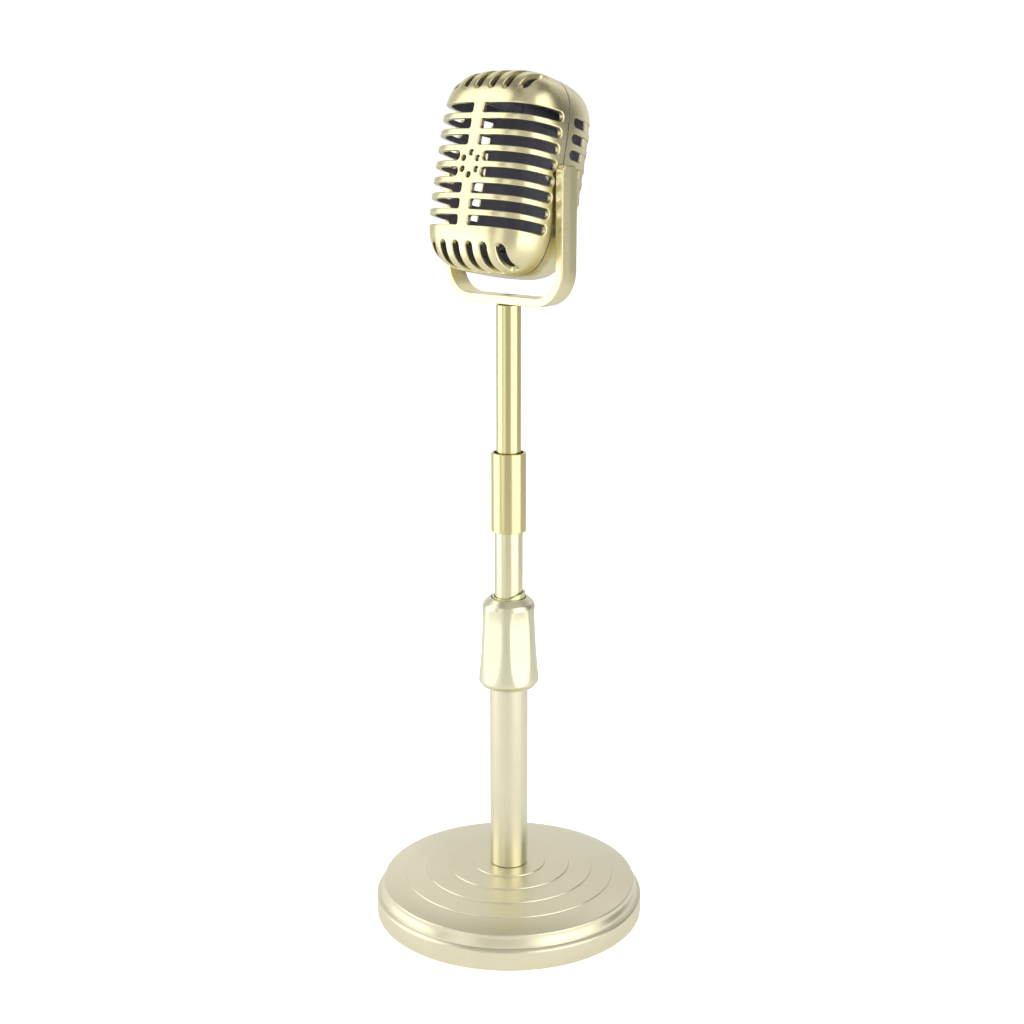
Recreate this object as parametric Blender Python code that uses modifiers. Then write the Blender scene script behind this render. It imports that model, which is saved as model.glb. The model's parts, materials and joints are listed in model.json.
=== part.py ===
"""A vintage-style stage-prop microphone on a telescoping table stand.

Metres, +Z up. The origin is the centre of the foot, on the floor. The grille faces -Y and
the head tilts about a horizontal axis along X. Neighbouring pieces keep FIT between them.
"""

import math

import bmesh
import bpy
from mathutils import Matrix, Vector

# Fits and mesh fineness
FIT = 0.0003
MERGE = 0.00005
ROUND_STEPS = 32
SMALL_STEPS = 20

# Foot: a dished cover over an iron disc
BASE_R = 0.0625
BASE_STEPS = 32
BASE_WALL_TOP = 0.0092
WALL_EDGE = 0.0007
PLATE_R = 0.059
PLATE_Z = 0.0153
PLATE_EDGE = 0.0006
RIM_FLARE = ((0.0003, 0.0022), (0.0017, 0.0045))
DOME_TOP = 0.0229
DOME_POWER = 3.0
STEP_RADII = (0.0168, 0.0282, 0.0389, 0.0488)
STEP_HEIGHT = 0.0005
COVER_WALL = 0.0024
COVER_BOTTOM = 0.0002
COVER_INNER_RADII = (0.0566, 0.048, 0.035, 0.022)
BOSS_R = 0.014
PAD_R = 0.0596
PAD_TOP = 0.0016
PAD_HOLE_R = 0.012
WEIGHT_R = 0.0572
WEIGHT_TOP = 0.012
WEIGHT_RECESS_R = 0.011
WEIGHT_RECESS_TOP = 0.008
BOLT_R = 0.0037
BOLT_BORE = 0.0041
BOLT_HEAD_R = 0.0075
BOLT_HEAD_BOTTOM = 0.002
BOLT_TIP = 0.033
WASHER_R = 0.0095
WASHER_T = 0.0013

# Telescoping tubes
LOWER_R = 0.00875
LOWER_BORE = 0.00745
LOWER_TOP = 0.124
INNER_R = 0.00635
INNER_BORE = 0.00535
INNER_BOTTOM = 0.0663
INNER_TOP = 0.2
COLLAR_R = 0.00785
COLLAR_BORE = 0.0067
COLLAR_BOTTOM = 0.184
COLLAR_TOP = 0.2201
ROD_R = 0.0055
ROD_BORE = 0.0044
ROD_BOTTOM = 0.203
FOOT_PLUG_H = 0.010
COLLAR_EDGE = 0.0004
BUSHING_BORE = 0.0025
BUSHING_FLANGE = 0.0024
BUSHING_DEPTH = 0.0097
PLUG_UP = 0.013
PLUG_DOWN = 0.012
INSERT_LENGTH = 0.024

# Twist lock
NUT_BOTTOM = 0.1112
NUT_WIDEST_Z = 0.1142
NUT_WIDEST_R = 0.01385
NUT_SHOULDER_Z = 0.1484
NUT_SHOULDER_R = 0.012
NUT_TOP = 0.1532
NUT_MOUTH_R = 0.008
NUT_BORE = 0.01095
NUT_LEDGE = 0.1465
NUT_FACE_R = 0.0089
NUT_CHAMFER_R = 0.0116
NUT_CHAMFER_Z = 0.1498
NUT_SKIRT_Z = 0.1131
NUT_SKIRT_R = 0.0136
NUT_RIM_R = 0.0121
NUT_RIM_H = 0.0007
NUT_EDGE = 0.0004
NUT_LIP_H = 0.0016
NUT_LIP_GAP = 0.00035
NUT_STEPS = 36
NUT_FLATS = 6
NUT_FLAT_DEPTH = 0.0009
NUT_PHASE = math.radians(8)
SLEEVE_R = 0.0106
SLEEVE_BOTTOM = 0.1142
SLEEVE_TOP = 0.139
COLLET_TOP = 0.1562
COLLET_LOW_TOP = 0.1536
COLLET_LIP_ANGLE = math.radians(35)
COLLET_NECK_R = 0.0076
COLLET_FLANGE_R = 0.0104
COLLET_FLANGE_TOP = 0.1437
COLLET_SLOT = 0.0012
THRUST_RING_R = 0.0106

# Yoke
YOKE_HALF = 0.035
YOKE_T = 0.004
YOKE_W = 0.0095
YOKE_BOTTOM = 0.2858
YOKE_BEND = 0.016
YOKE_TIP_R = 0.0024
YOKE_SCREW_R = 0.0016
YOKE_SCREW_HEAD_R = 0.0031
YOKE_SCREW_SINK = 0.0002
YOKE_SCREW_LENGTH = 0.022

# Head
PIVOT_Z = 0.3406
HEAD_TILT = math.radians(12.8)
HEAD_HALF = 0.030
HEAD_H = 0.043
FRONT_DEPTH = 0.0242
REAR_DEPTH = 0.0305
FRONT_POWER = 3.3
REAR_POWER = 2.3
TOP_POWERS = (2.4, 6.0)
BOTTOM_POWERS = (4.2, 4.2)
FRONT_WALL = 0.0025
REAR_WALL = 0.0018
SEAM_GAP = 0.0004
SHELL_RINGS = 7
SHELL_STEPS = 32

# Openings of the head
ROWS = 8
ROW_PITCH = 0.00667
SLOT_H = 0.0041
BAR_HALF = 0.00295
BADGE_BAR_HALF = 0.0066
SLOT_END_Y = 0.0038
BADGE_RING_R = 0.0046
BADGE_HOLE_R = 0.00122
END_SLOTS = 6
END_SLOT_PITCH = 0.0078
END_SLOT_W = 0.0038
END_SLOT_Z = 0.0318
END_SLOT_Y = 0.007
WINDOW_Y = (0.0033, 0.0129)
WINDOW_H = 0.0039
BOSS_Z = 0.0284
BOSS_FRONT_R = 0.0027
BOSS_REAR_R = 0.004
BOSS_FRONT_END = -0.0222
BOSS_REAR_END = 0.0276
PILOT_END = -0.0125
SHELL_SCREW_R = 0.0012
SHELL_SCREW_HEAD_R = 0.0028
SHELL_SCREW_HEAD_H = 0.002
SHELL_SCREW_LENGTH = 0.032
SHELL_SCREW_SEAT = 0.02
PIVOT_R = 0.0017
PIVOT_HEAD_R = 0.0036
PIVOT_HEAD_H = 0.0022
PIVOT_SEAT = 0.001
PIVOT_WASHER_R = 0.0043
PIVOT_WASHER_T = 0.0008
PIVOT_CLEAR = 0.0008
FAR = 0.045

# Looks: colour, metallic, roughness
GOLD = ((0.62, 0.53, 0.30, 1.0), 0.9, 0.3)
PALE_GOLD = ((0.66, 0.60, 0.44, 1.0), 0.9, 0.3)
STAND_GOLD = ((0.64, 0.58, 0.42, 1.0), 0.7, 0.4)
ZINC = ((0.55, 0.56, 0.57, 1.0), 0.9, 0.35)
IRON = ((0.12, 0.12, 0.12, 1.0), 0.9, 0.6)
NYLON = ((0.80, 0.79, 0.74, 1.0), 0.0, 0.5)
FOAM = ((0.02, 0.02, 0.02, 1.0), 0.0, 0.9)


def clear_scene():
    for item in list(bpy.data.objects):
        bpy.data.objects.remove(item, do_unlink=True)


def new_collection(name):
    collection = bpy.data.collections.new(name)
    bpy.context.scene.collection.children.link(collection)
    return collection


def material(name, colour, metallic, roughness):
    made = bpy.data.materials.new(name)
    made.use_nodes = True
    made.diffuse_color = colour
    shader = made.node_tree.nodes["Principled BSDF"]
    shader.inputs["Base Color"].default_value = colour
    shader.inputs["Metallic"].default_value = metallic
    shader.inputs["Roughness"].default_value = roughness
    return made


def add_part(name, mesh, look, parent=None):
    """Put a mesh in the parts collection under its node's name, with its material."""
    colour, metallic, roughness = look
    mesh.materials.clear()
    mesh.materials.append(material(name, colour, metallic, roughness))
    part = bpy.data.objects.new(name, mesh)
    part.parent = parent
    PARTS.objects.link(part)
    return part


def add_cutter(name, mesh, parent=None):
    cutter = bpy.data.objects.new(name, mesh)
    cutter.parent = parent
    cutter.hide_render = True
    cutter.display_type = "WIRE"
    CUTTERS.objects.link(cutter)
    return cutter


def boolean(part, tool, operation):
    modifier = part.modifiers.new(tool.name, "BOOLEAN")
    modifier.operation = operation
    modifier.solver = "EXACT"
    modifier.object = tool


def mesh_from(bm, name):
    mesh = bpy.data.meshes.new(name)
    bm.normal_update()
    bm.to_mesh(mesh)
    bm.free()
    return mesh


def turned(name, profile, look, parent=None, steps=ROUND_STEPS, closed=True):
    """Turn a profile of (radius, height) points about Z. It runs down the outer side first.

    A closed profile gives a ring, an open one starts and ends on the axis.
    """
    bm = bmesh.new()
    points = [bm.verts.new((radius, 0.0, height)) for radius, height in profile]
    for start, end in zip(points, points[1:]):
        bm.edges.new((start, end))
    if closed:
        bm.edges.new((points[-1], points[0]))
    part = add_part(name, mesh_from(bm, name), look, parent)
    screw = part.modifiers.new("Turn", "SCREW")
    screw.steps = steps
    screw.render_steps = steps
    screw.use_merge_vertices = True
    screw.merge_threshold = MERGE
    screw.use_smooth_shade = True
    return part


def tube(name, outer, bore, bottom, top, look, steps=ROUND_STEPS, edge=0.0):
    """A tube on the Z axis. An edge breaks its two outer corners."""
    side = [(outer, top), (outer, bottom)]
    if edge:
        side = [(outer - edge, top), (outer, top - edge), (outer, bottom + edge), (outer - edge, bottom)]
    return turned(name, side + [(bore, bottom), (bore, top)], look, steps=steps)


def rod_mesh(name, radius, start, end, steps=SMALL_STEPS):
    """A plain cylinder between two points, as a mesh."""
    axis = Vector(end) - Vector(start)
    turn = axis.to_track_quat("Z", "Y").to_matrix().to_4x4()
    place = Matrix.Translation((Vector(start) + Vector(end)) / 2) @ turn
    bm = bmesh.new()
    bmesh.ops.create_cone(
        bm, cap_ends=True, segments=steps, radius1=radius, radius2=radius, depth=axis.length, matrix=place
    )
    return mesh_from(bm, name)


def boxes_mesh(name, boxes):
    """Separate boxes in one mesh, each given as its low and high corner."""
    bm = bmesh.new()
    for low, high in boxes:
        middle = (Vector(low) + Vector(high)) / 2
        size = Vector(high) - Vector(low)
        place = Matrix.Translation(middle) @ Matrix.Diagonal((*size, 1.0))
        bmesh.ops.create_cube(bm, size=1.0, matrix=place)
    return mesh_from(bm, name)


def flat_mesh(name, outline, thickness):
    """A flat piece from a closed outline in the XY plane, made as a filled and extruded curve."""
    curve = bpy.data.curves.new(name, "CURVE")
    curve.dimensions = "2D"
    curve.fill_mode = "BOTH"
    curve.extrude = thickness / 2
    spline = curve.splines.new("POLY")
    spline.points.add(len(outline) - 1)
    for point, (across, up) in zip(spline.points, outline):
        point.co = (across, up, 0.0, 1.0)
    spline.use_cyclic_u = True
    holder = bpy.data.objects.new(name, curve)
    bpy.context.scene.collection.objects.link(holder)
    mesh = bpy.data.meshes.new_from_object(holder.evaluated_get(bpy.context.evaluated_depsgraph_get()))
    bpy.data.objects.remove(holder, do_unlink=True)
    bm = bmesh.new()
    bm.from_mesh(mesh)
    bmesh.ops.remove_doubles(bm, verts=bm.verts, dist=MERGE)
    bm.to_mesh(mesh)
    bm.free()
    return mesh


def dome_height(radius):
    """Height of the cover's shallow dome, before its steps."""
    return DOME_TOP - (DOME_TOP - PLATE_Z) * (radius / PLATE_R) ** DOME_POWER


def base_cover():
    """Dished cover: a stepped dome, a moulded rim and a straight wall, hollow underneath."""
    outer = [(BOLT_BORE, DOME_TOP)]
    for radius in STEP_RADII:
        outer.append((radius, dome_height(radius) + STEP_HEIGHT / 2))
        outer.append((radius + STEP_HEIGHT, dome_height(radius) - STEP_HEIGHT / 2))
    outer += [
        (PLATE_R - PLATE_EDGE, PLATE_Z + PLATE_EDGE / 2),
        (PLATE_R, PLATE_Z - PLATE_EDGE / 2),
        (PLATE_R + RIM_FLARE[0][0], PLATE_Z - RIM_FLARE[0][1]),
        (PLATE_R + RIM_FLARE[1][0], PLATE_Z - RIM_FLARE[1][1]),
        (BASE_R - WALL_EDGE, BASE_WALL_TOP),
        (BASE_R, BASE_WALL_TOP - WALL_EDGE),
        (BASE_R, COVER_BOTTOM),
    ]
    wall_in = BASE_R - COVER_WALL
    inner = [(wall_in, COVER_BOTTOM), (wall_in, BASE_WALL_TOP - COVER_WALL / 2)]
    for radius in (*COVER_INNER_RADII, BOSS_R):
        inner.append((radius, dome_height(radius) - COVER_WALL))
    inner += [(BOSS_R, WEIGHT_TOP + FIT), (BOLT_BORE, WEIGHT_TOP + FIT)]
    return turned("base_cover", outer + inner, STAND_GOLD, steps=BASE_STEPS)


def base_weight():
    """Iron disc with a recess for the bolt's head."""
    bottom = PAD_TOP + FIT
    profile = [
        (BOLT_BORE, WEIGHT_TOP),
        (WEIGHT_R, WEIGHT_TOP),
        (WEIGHT_R, bottom),
        (WEIGHT_RECESS_R, bottom),
        (WEIGHT_RECESS_R, WEIGHT_RECESS_TOP),
        (BOLT_BORE, WEIGHT_RECESS_TOP),
    ]
    return turned("base_weight", profile, IRON)


def base_bolt():
    """Hexagon-headed bolt, from below, through the weight and the cover into the tube's plug."""
    washer_bottom = WEIGHT_RECESS_TOP - FIT - WASHER_T
    head_top = washer_bottom - FIT
    shank = rod_mesh("base_bolt", BOLT_R, (0, 0, head_top - 0.001), (0, 0, BOLT_TIP))
    bolt = add_part("base_bolt", shank, ZINC)
    head = rod_mesh("bolt_head", BOLT_HEAD_R, (0, 0, BOLT_HEAD_BOTTOM), (0, 0, head_top), steps=6)
    boolean(bolt, add_cutter("bolt_head", head), "UNION")
    tube("base_washer", WASHER_R, BOLT_R + FIT, washer_bottom, washer_bottom + WASHER_T, ZINC, SMALL_STEPS)


def foot():
    base_cover()
    base_weight()
    tube("base_pad", PAD_R, PAD_HOLE_R, 0.0, PAD_TOP, FOAM)
    base_bolt()


def lower_mast():
    """The fixed tube and the plug in its lower end that takes the bolt."""
    bottom = DOME_TOP + FIT
    tube("lower_tube", LOWER_R, LOWER_BORE, bottom, LOWER_TOP, STAND_GOLD)
    tube("tube_foot_plug", LOWER_BORE - FIT, BOLT_R + FIT, bottom, bottom + FOOT_PLUG_H, ZINC, SMALL_STEPS)


def threaded_sleeve():
    """Sleeve over the tube's upper end. The lock nut turns on its outside."""
    over_tube = LOWER_R + FIT
    bore = INNER_R + FIT
    profile = [
        (SLEEVE_R, SLEEVE_TOP),
        (SLEEVE_R, SLEEVE_BOTTOM),
        (over_tube, SLEEVE_BOTTOM),
        (over_tube, LOWER_TOP + FIT),
        (bore, LOWER_TOP + FIT),
        (bore, SLEEVE_TOP),
    ]
    return turned("threaded_sleeve", profile, NYLON, steps=SMALL_STEPS)


def collet_slant_mesh():
    """Everything over the neck's low rim and over the slope from there up to its lip."""
    slope = (COLLET_TOP - COLLET_LOW_TOP) / COLLET_NECK_R
    reach = COLLET_NECK_R * 1.5
    over = COLLET_TOP + 0.01
    outline = [
        (-reach, COLLET_LOW_TOP),
        (0.0, COLLET_LOW_TOP),
        (reach, COLLET_LOW_TOP + reach * slope),
        (reach, over),
        (-reach, over),
    ]
    mesh = flat_mesh("collet_slant", outline, reach * 2)
    mesh.transform(Matrix.Rotation(COLLET_LIP_ANGLE, 4, "Z") @ Matrix.Rotation(math.radians(90), 4, "X"))
    return mesh


def collet():
    """Split ring that grips the inner tube: a flange on the sleeve, and a neck with a lip through the nut."""
    bore = INNER_R + FIT
    bottom = SLEEVE_TOP + FIT
    profile = [
        (COLLET_NECK_R, COLLET_TOP),
        (COLLET_NECK_R, COLLET_FLANGE_TOP),
        (COLLET_FLANGE_R, COLLET_FLANGE_TOP),
        (COLLET_FLANGE_R, bottom),
        (bore, bottom),
        (bore, COLLET_TOP),
    ]
    ring = turned("collet", profile, PALE_GOLD, steps=24)
    split = boxes_mesh("collet_split", [((-COLLET_SLOT / 2, 0.0, 0.13), (COLLET_SLOT / 2, 0.02, 0.16))])
    boolean(ring, add_cutter("collet_split", split), "DIFFERENCE")
    boolean(ring, add_cutter("collet_slant", collet_slant_mesh()), "DIFFERENCE")


def flat_radius(radius, angle, share):
    """Radius at an angle about the nut and a share of its length, where the grip flats are cut.

    Each flat is a plane across the nut, deepest in the middle of the nut's length.
    """
    period = 2 * math.pi / NUT_FLATS
    off = (angle - NUT_PHASE) % period - period / 2
    depth = NUT_FLAT_DEPTH * (1 - (2 * share - 1) ** 2)
    return min(radius, (radius - depth) / math.cos(off))


def nut_profile():
    """Half section of the nut: a tapered side over an undercut skirt, and a stepped bore."""
    levels = 6
    side = []
    for index in range(levels + 1):
        share = index / levels
        radius = NUT_SHOULDER_R + (NUT_WIDEST_R - NUT_SHOULDER_R) * share
        side.append((radius, NUT_SHOULDER_Z + (NUT_WIDEST_Z - NUT_SHOULDER_Z) * share))
    top = [(NUT_MOUTH_R, NUT_TOP), (NUT_FACE_R, NUT_TOP), (NUT_CHAMFER_R, NUT_CHAMFER_Z)]
    skirt = [
        (NUT_SKIRT_R, NUT_SKIRT_Z),
        (NUT_RIM_R, NUT_BOTTOM + NUT_RIM_H),
        (NUT_RIM_R - NUT_EDGE, NUT_BOTTOM),
    ]
    lip_r = LOWER_R + NUT_LIP_GAP
    lip_top = NUT_BOTTOM + NUT_LIP_H
    bore = [(lip_r, NUT_BOTTOM), (lip_r, lip_top), (NUT_BORE, lip_top)]
    bore += [(NUT_BORE, NUT_LEDGE), (NUT_MOUTH_R, NUT_LEDGE)]
    return top + side + skirt + bore


def lock_nut():
    """Tapered nut with six long grip flats."""
    nut = turned("lock_nut", nut_profile(), STAND_GOLD, steps=NUT_STEPS)
    shaped = bpy.data.meshes.new_from_object(nut.evaluated_get(bpy.context.evaluated_depsgraph_get()))
    nut.modifiers.clear()
    for vertex in shaped.vertices:
        point = vertex.co
        radius = math.hypot(point.x, point.y)
        share = (point.z - NUT_WIDEST_Z) / (NUT_SHOULDER_Z - NUT_WIDEST_Z)
        if radius > NUT_BORE + FIT and 0.0 < share < 1.0:
            kept = flat_radius(radius, math.atan2(point.y, point.x), share) / radius
            point.x *= kept
            point.y *= kept
    nut.data = shaped


def twist_lock():
    threaded_sleeve()
    collet()
    ring_top = NUT_LEDGE - FIT
    tube("thrust_ring", THRUST_RING_R, COLLET_NECK_R + FIT, COLLET_FLANGE_TOP + FIT, ring_top, NYLON, 24)
    lock_nut()


def guide_bushing():
    """Flanged end plug of the inner tube. It slides in the lower tube."""
    flange_r = LOWER_BORE - FIT
    spigot_r = INNER_BORE - FIT
    flange_top = INNER_BOTTOM - FIT
    flange_bottom = flange_top - BUSHING_FLANGE
    spigot_top = INNER_BOTTOM + BUSHING_DEPTH
    profile = [
        (spigot_r, spigot_top),
        (spigot_r, flange_top),
        (flange_r, flange_top),
        (flange_r, flange_bottom),
        (BUSHING_BORE, flange_bottom),
        (BUSHING_BORE, spigot_top),
    ]
    return turned("guide_bushing", profile, NYLON, steps=SMALL_STEPS)


def joint_plug():
    """Spigot inside the collar that joins the inner tube to the upper rod."""
    low_r = INNER_BORE - FIT
    high_r = ROD_BORE - FIT
    profile = [
        (0.0, ROD_BOTTOM + PLUG_UP),
        (high_r, ROD_BOTTOM + PLUG_UP),
        (high_r, ROD_BOTTOM - FIT),
        (COLLAR_BORE - FIT, ROD_BOTTOM - FIT),
        (COLLAR_BORE - FIT, INNER_TOP + FIT),
        (low_r, INNER_TOP + FIT),
        (low_r, INNER_TOP - PLUG_DOWN),
        (0.0, INNER_TOP - PLUG_DOWN),
    ]
    return turned("joint_plug", profile, ZINC, steps=SMALL_STEPS, closed=False)


def sliding_mast():
    tube("inner_tube", INNER_R, INNER_BORE, INNER_BOTTOM, INNER_TOP, PALE_GOLD)
    guide_bushing()
    joint_plug()
    tube("collar", COLLAR_R, COLLAR_BORE, COLLAR_BOTTOM, COLLAR_TOP, GOLD, edge=COLLAR_EDGE)
    rod_top = YOKE_BOTTOM - FIT
    tube("upper_rod", ROD_R, ROD_BORE, ROD_BOTTOM, rod_top, GOLD)
    bore = YOKE_SCREW_R + FIT
    tube("rod_insert", ROD_BORE - FIT, bore, rod_top - INSERT_LENGTH, rod_top - FIT, ZINC, SMALL_STEPS)


def cross_recess(screw, head_r, low, high):
    """Cut a cross in a screw's head between two heights."""
    arm = head_r * 0.55
    half = head_r * 0.11
    for index, (x, y) in enumerate(((arm, half), (half, arm))):
        slot = boxes_mesh("recess", [((-x, -y, low), (x, y, high))])
        tool = add_cutter(f"{screw.name}_recess_{index}", slot, screw)
        boolean(screw, tool, "DIFFERENCE")


def headed_screw(name, shank_r, head_r, length, head_h, parent=None):
    """Pan-head screw along +Z with its head's underside at the origin and a cross recess."""
    profile = [
        (0.0, head_h),
        (head_r * 0.75, head_h),
        (head_r, head_h * 0.5),
        (head_r, 0.0),
        (shank_r, 0.0),
        (shank_r, -length),
        (0.0, -length),
    ]
    screw = turned(name, profile, ZINC, parent, SMALL_STEPS, closed=False)
    cross_recess(screw, head_r, head_h * 0.5, head_h * 1.5)
    return screw


def yoke_outline():
    """Outer and inner line of the U, as (x, z) points, bends as arcs."""
    top = PIVOT_Z + YOKE_W / 2
    arc = [math.radians(90 * index / 6) for index in range(7)]

    def bends(half, bottom, radius):
        across = half - radius
        up = bottom + radius
        right = [(across + radius * math.cos(angle), up - radius * math.sin(angle)) for angle in arc]
        return right + [(-x, z) for x, z in reversed(right)]

    outer = [(YOKE_HALF, top)] + bends(YOKE_HALF, YOKE_BOTTOM, YOKE_BEND) + [(-YOKE_HALF, top)]
    inside = YOKE_HALF - YOKE_T
    inner = [(inside, top)] + bends(inside, YOKE_BOTTOM + YOKE_T, YOKE_BEND - YOKE_T) + [(-inside, top)]
    return outer + inner[::-1]


def arm_blank():
    """Side view of the yoke: a strip of the bar's width whose upper corners are round."""
    half = YOKE_W / 2
    across = half - YOKE_TIP_R
    up = PIVOT_Z + half - YOKE_TIP_R
    low = YOKE_BOTTOM - 0.01
    arc = [math.radians(90 * index / 5) for index in range(6)]
    right = [(across + YOKE_TIP_R * math.cos(angle), up + YOKE_TIP_R * math.sin(angle)) for angle in arc]
    left = [(-x, z) for x, z in reversed(right)]
    mesh = flat_mesh("arm_blank", right + left + [(-half, low), (half, low)], 0.1)
    mesh.transform(Matrix.Rotation(math.radians(90), 4, "Z") @ Matrix.Rotation(math.radians(90), 4, "X"))
    return add_cutter("arm_blank", mesh)


def screw_seat_mesh():
    """Cone sunk in the yoke's inner face, FIT clear of the screw's head all round."""
    slope_gap = FIT * math.sqrt(2)
    top = YOKE_BOTTOM + YOKE_T
    wide = YOKE_SCREW_HEAD_R + slope_gap - YOKE_SCREW_SINK
    depth = wide - YOKE_SCREW_R - FIT
    over = 0.001
    bm = bmesh.new()
    place = Matrix.Translation((0, 0, top + (over - depth) / 2))
    bmesh.ops.create_cone(
        bm,
        cap_ends=True,
        segments=SMALL_STEPS,
        radius1=wide - depth,
        radius2=wide + over,
        depth=depth + over,
        matrix=place,
    )
    return mesh_from(bm, "yoke_screw_seat")


def yoke():
    """U of flat bar: a countersunk hole for its screw, and a blind hole in each arm for the pivots."""
    mesh = flat_mesh("yoke", yoke_outline(), YOKE_W * 1.5)
    mesh.transform(Matrix.Rotation(math.radians(90), 4, "X"))
    bar = add_part("yoke", mesh, GOLD)
    boolean(bar, arm_blank(), "INTERSECT")
    low = (0, 0, YOKE_BOTTOM - 0.01)
    high = (0, 0, YOKE_BOTTOM + 0.01)
    hole = rod_mesh("yoke_hole", YOKE_SCREW_R + FIT + 0.0001, low, high)
    boolean(bar, add_cutter("yoke_hole", hole), "DIFFERENCE")
    seat = add_cutter("yoke_screw_seat", screw_seat_mesh())
    boolean(bar, seat, "DIFFERENCE")
    for side in (-1, 1):
        start = (side * (YOKE_HALF - YOKE_T - 0.002), 0, PIVOT_Z)
        end = (side * (YOKE_HALF - PIVOT_SEAT + FIT), 0, PIVOT_Z)
        pocket = rod_mesh("pivot_pocket", PIVOT_R + FIT, start, end)
        boolean(bar, add_cutter("pivot_pocket", pocket), "DIFFERENCE")


def yoke_screw():
    """Countersunk screw that holds the yoke on the rod and lets it swivel."""
    cone = YOKE_SCREW_HEAD_R - YOKE_SCREW_R
    profile = [
        (0.0, 0.0),
        (YOKE_SCREW_HEAD_R, 0.0),
        (YOKE_SCREW_R, -cone),
        (YOKE_SCREW_R, -YOKE_SCREW_LENGTH),
        (0.0, -YOKE_SCREW_LENGTH),
    ]
    screw = turned("yoke_screw", profile, ZINC, steps=SMALL_STEPS, closed=False)
    screw.location = (0, 0, YOKE_BOTTOM + YOKE_T - YOKE_SCREW_SINK)
    cross_recess(screw, YOKE_SCREW_HEAD_R, -0.001, 0.001)


def pivot_fixings():
    """A shouldered screw and a washer on each side, from inside the head into the yoke's arm."""
    wall_in = HEAD_HALF - FRONT_WALL
    washer_out = wall_in - PIVOT_CLEAR
    washer_in = washer_out - PIVOT_WASHER_T
    reach = YOKE_HALF - PIVOT_SEAT - (washer_in - FIT)
    for side, name in ((-1, "left"), (1, "right")):
        turn = Matrix.Rotation(side * math.radians(-90), 4, "Y")
        screw = headed_screw(f"pivot_screw_{name}", PIVOT_R, PIVOT_HEAD_R, reach, PIVOT_HEAD_H)
        screw.matrix_world = Matrix.Translation((side * (washer_in - FIT), 0, PIVOT_Z)) @ turn
        sizes = (PIVOT_WASHER_R, PIVOT_R + FIT, 0.0, PIVOT_WASHER_T)
        washer = tube(f"pivot_washer_{name}", *sizes, ZINC, SMALL_STEPS)
        washer.matrix_world = Matrix.Translation((side * washer_out, 0, PIVOT_Z)) @ turn


def skin_reach(level, up):
    """How far along a direction, given by its level and upright parts, the head's skin lies."""
    side_power, up_power = TOP_POWERS if up > 0 else BOTTOM_POWERS
    near = 0.0
    far = 2.0
    for _ in range(40):
        reach = (near + far) / 2
        if (level * reach) ** side_power + (abs(up) * reach) ** up_power < 1:
            near = reach
        else:
            far = reach
    return reach


def head_point(angle, rise, depth, power):
    """A point on one half of the head's skin, in a direction given by two angles.

    angle goes about the Y axis and rise goes from the seam to the middle of the face.
    Level sections are superellipses of the given power. Upright sections have two
    powers, sideways and upwards, which make the head's top rounder than its bottom.
    """
    across = math.cos(rise) * math.cos(angle)
    out = math.sin(rise)
    up = math.cos(rise) * math.sin(angle)
    level = (abs(across) ** power + abs(out) ** power) ** (1 / power)
    return Vector((across * HEAD_HALF, out * depth, up * HEAD_H)) * skin_reach(level, up)


def head_skin(name, facing, depth, power):
    """Open surface of one half of the head, from its seam to the middle of its face."""
    bm = bmesh.new()
    seam = Vector((0.0, facing * SEAM_GAP / 2, 0.0))
    rings = []
    for ring in range(SHELL_RINGS):
        rise = math.radians(90) * ring / SHELL_RINGS
        row = []
        for step in range(SHELL_STEPS):
            point = head_point(2 * math.pi * step / SHELL_STEPS, rise, depth, power)
            point.y *= facing
            row.append(bm.verts.new(point + seam))
        rings.append(row)
    middle = bm.verts.new(Vector((0.0, facing * depth, 0.0)) + seam)
    for low, high in zip(rings, rings[1:]):
        for step in range(SHELL_STEPS):
            after = (step + 1) % SHELL_STEPS
            bm.faces.new((low[step], low[after], high[after], high[step]))
    for step in range(SHELL_STEPS):
        bm.faces.new((rings[-1][step], rings[-1][(step + 1) % SHELL_STEPS], middle))
    if facing > 0:
        bmesh.ops.reverse_faces(bm, faces=bm.faces)
    return mesh_from(bm, name)


def head_half(name, facing, depth, power, thickness, parent):
    """One moulded half: the skin given its wall thickness."""
    half = add_part(name, head_skin(name, facing, depth, power), GOLD, parent)
    wall = half.modifiers.new("Wall", "SOLIDIFY")
    wall.thickness = thickness
    wall.offset = -1.0
    half.data.shade_smooth()
    return half


def row_heights():
    return [(index - (ROWS - 1) / 2) * ROW_PITCH for index in range(ROWS)]


def grille_boxes():
    """Cutters of the level slots, and of the upright slots over the head's two ends."""
    boxes = []
    for height in row_heights():
        beside_badge = abs(height) < ROW_PITCH
        start = BADGE_BAR_HALF if beside_badge else BAR_HALF
        low = height - SLOT_H / 2
        high = height + SLOT_H / 2
        boxes.append(((start, -FAR, low), (FAR, -SLOT_END_Y, high)))
        boxes.append(((-FAR, -FAR, low), (-start, -SLOT_END_Y, high)))
    for index in range(END_SLOTS):
        middle = (index - (END_SLOTS - 1) / 2) * END_SLOT_PITCH
        left = middle - END_SLOT_W / 2
        right = middle + END_SLOT_W / 2
        boxes.append(((left, -FAR, END_SLOT_Z), (right, -END_SLOT_Y, FAR)))
        boxes.append(((left, -FAR, -FAR), (right, -END_SLOT_Y, -END_SLOT_Z)))
    return boxes


def joined_mesh(name, meshes):
    """Several closed meshes as one, for a single cut."""
    bm = bmesh.new()
    for mesh in meshes:
        bm.from_mesh(mesh)
    return mesh_from(bm, name)


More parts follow.
